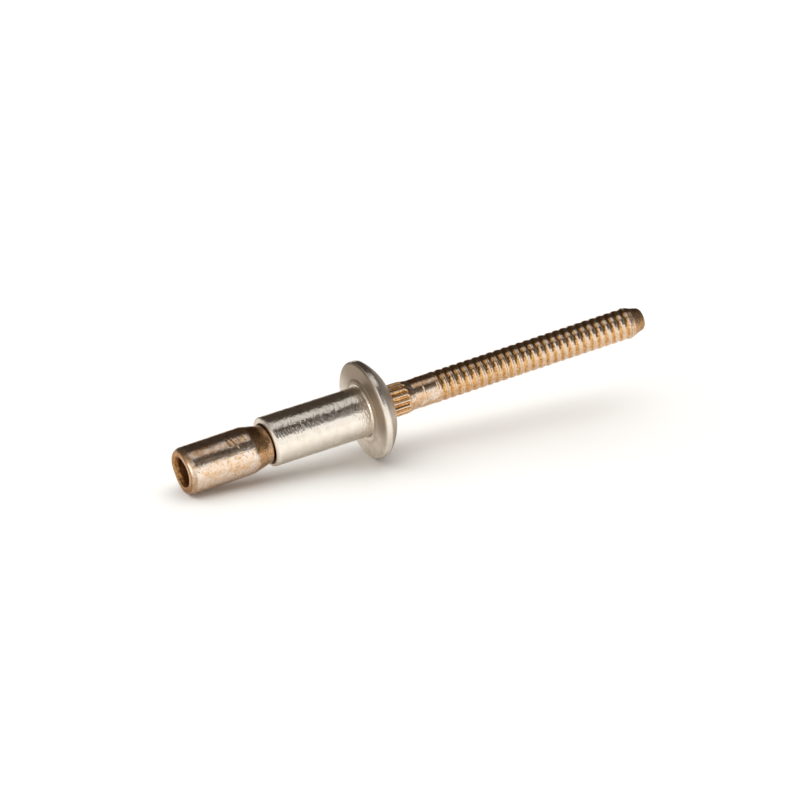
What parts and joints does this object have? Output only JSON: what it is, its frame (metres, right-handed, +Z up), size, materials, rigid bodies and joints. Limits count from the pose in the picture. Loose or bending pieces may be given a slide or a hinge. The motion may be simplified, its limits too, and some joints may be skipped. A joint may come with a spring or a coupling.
{
  "type": "pop rivet",
  "caption": "Structural blind rivet: a silver zinc-plated domed-flange sleeve on a gold-coloured mandrel with hollow head, splines and pull grooves.",
  "frame": {"origin": "centre of the flange's bearing face, on the rivet's axis", "axes": "+X along the rivet as it lies, toward the pull stem; +Z up; the axis itself rises toward the stem's tip by the resting tilt"},
  "size_m": [0.0481, 0.0094, 0.0097],
  "materials": {
    "silver_zinc": "clear zinc plate over cold-headed steel, satin",
    "yellow_zinc": "yellow passivated zinc over cold-formed steel, satin and mottled"
  },
  "bodies": {
    "root": {"rivet_body": "silver_zinc", "mandrel": "yellow_zinc"}
  },
  "joints": []
}
